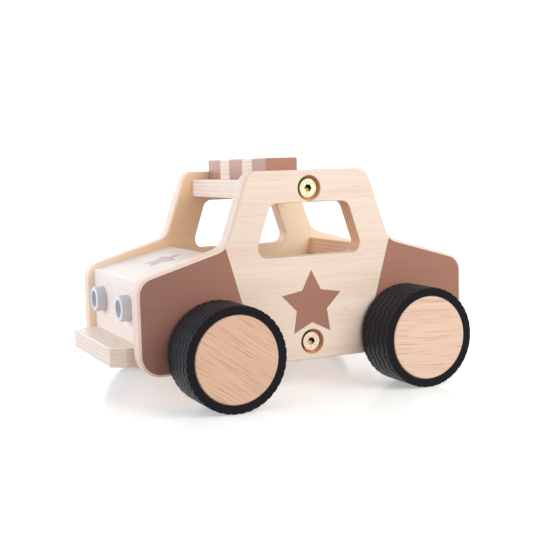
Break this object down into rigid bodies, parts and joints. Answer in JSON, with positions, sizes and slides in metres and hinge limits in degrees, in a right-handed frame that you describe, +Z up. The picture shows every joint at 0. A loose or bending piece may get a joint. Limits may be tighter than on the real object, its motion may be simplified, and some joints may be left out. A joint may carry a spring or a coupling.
{
  "type": "toy police car",
  "caption": "Wooden toy police car with plywood sides, painted fenders and stars, a striped light bar, cup headlights and rubber-tyred wheels rolling on steel axles.",
  "frame": {"origin": "on the ground, under the middle of the car", "axes": "+X towards the front bumper, +Y towards the car's left side, +Z up"},
  "size_m": [0.259, 0.187, 0.15],
  "materials": {
    "plywood": "clear satin plywood, with brown painted fields",
    "painted_wood": "brown satin paint with bare stripes",
    "wheel_wood": "clear satin",
    "dowel_wood": "bare",
    "rubber": "matt",
    "nylon": "matt",
    "lamp_grey": "matt",
    "steel": "drawn",
    "yellow_zinc": "yellow passivated zinc"
  },
  "bodies": {
    "body": {"left_side_panel": "plywood", "right_side_panel": "plywood", "roof_board": "plywood", "floor_board": "plywood", "hood_board": "plywood", "rear_deck": "plywood", "grille_board": "plywood", "tail_board": "plywood", "front_bumper": "plywood", "rear_bumper": "plywood", "light_bar": "painted_wood", "left_headlight": "lamp_grey", "right_headlight": "lamp_grey", "front_left_bush": "nylon", "front_right_bush": "nylon", "rear_left_bush": "nylon", "rear_right_bush": "nylon", "left_roof_bolt": "yellow_zinc", "right_roof_bolt": "yellow_zinc", "left_floor_bolt": "yellow_zinc", "right_floor_bolt": "yellow_zinc", "left_roof_nut": "steel", "right_roof_nut": "steel", "left_floor_nut": "steel", "right_floor_nut": "steel", "roof_dowels": "dowel_wood", "floor_dowels": "dowel_wood", "hood_dowels": "dowel_wood", "deck_dowels": "dowel_wood", "grille_dowels": "dowel_wood", "tail_dowels": "dowel_wood", "front_bumper_dowels": "dowel_wood", "rear_bumper_dowels": "dowel_wood"},
    "front_wheelset": {"front_axle": "steel", "front_left_disc": "wheel_wood", "front_left_tyre": "rubber", "front_right_disc": "wheel_wood", "front_right_tyre": "rubber"},
    "rear_wheelset": {"rear_axle": "steel", "rear_left_disc": "wheel_wood", "rear_left_tyre": "rubber", "rear_right_disc": "wheel_wood", "rear_right_tyre": "rubber"}
  },
  "joints": [
    {"name": "front_axle_spin", "type": "hinge", "parent": "body", "child": "front_wheelset", "pos_m": [0.0674, 0, 0.0324], "axis": [0, 1, 0], "continuous": true},
    {"name": "rear_axle_spin", "type": "hinge", "parent": "body", "child": "rear_wheelset", "pos_m": [-0.0674, 0, 0.0324], "axis": [0, 1, 0], "continuous": true}
  ]
}
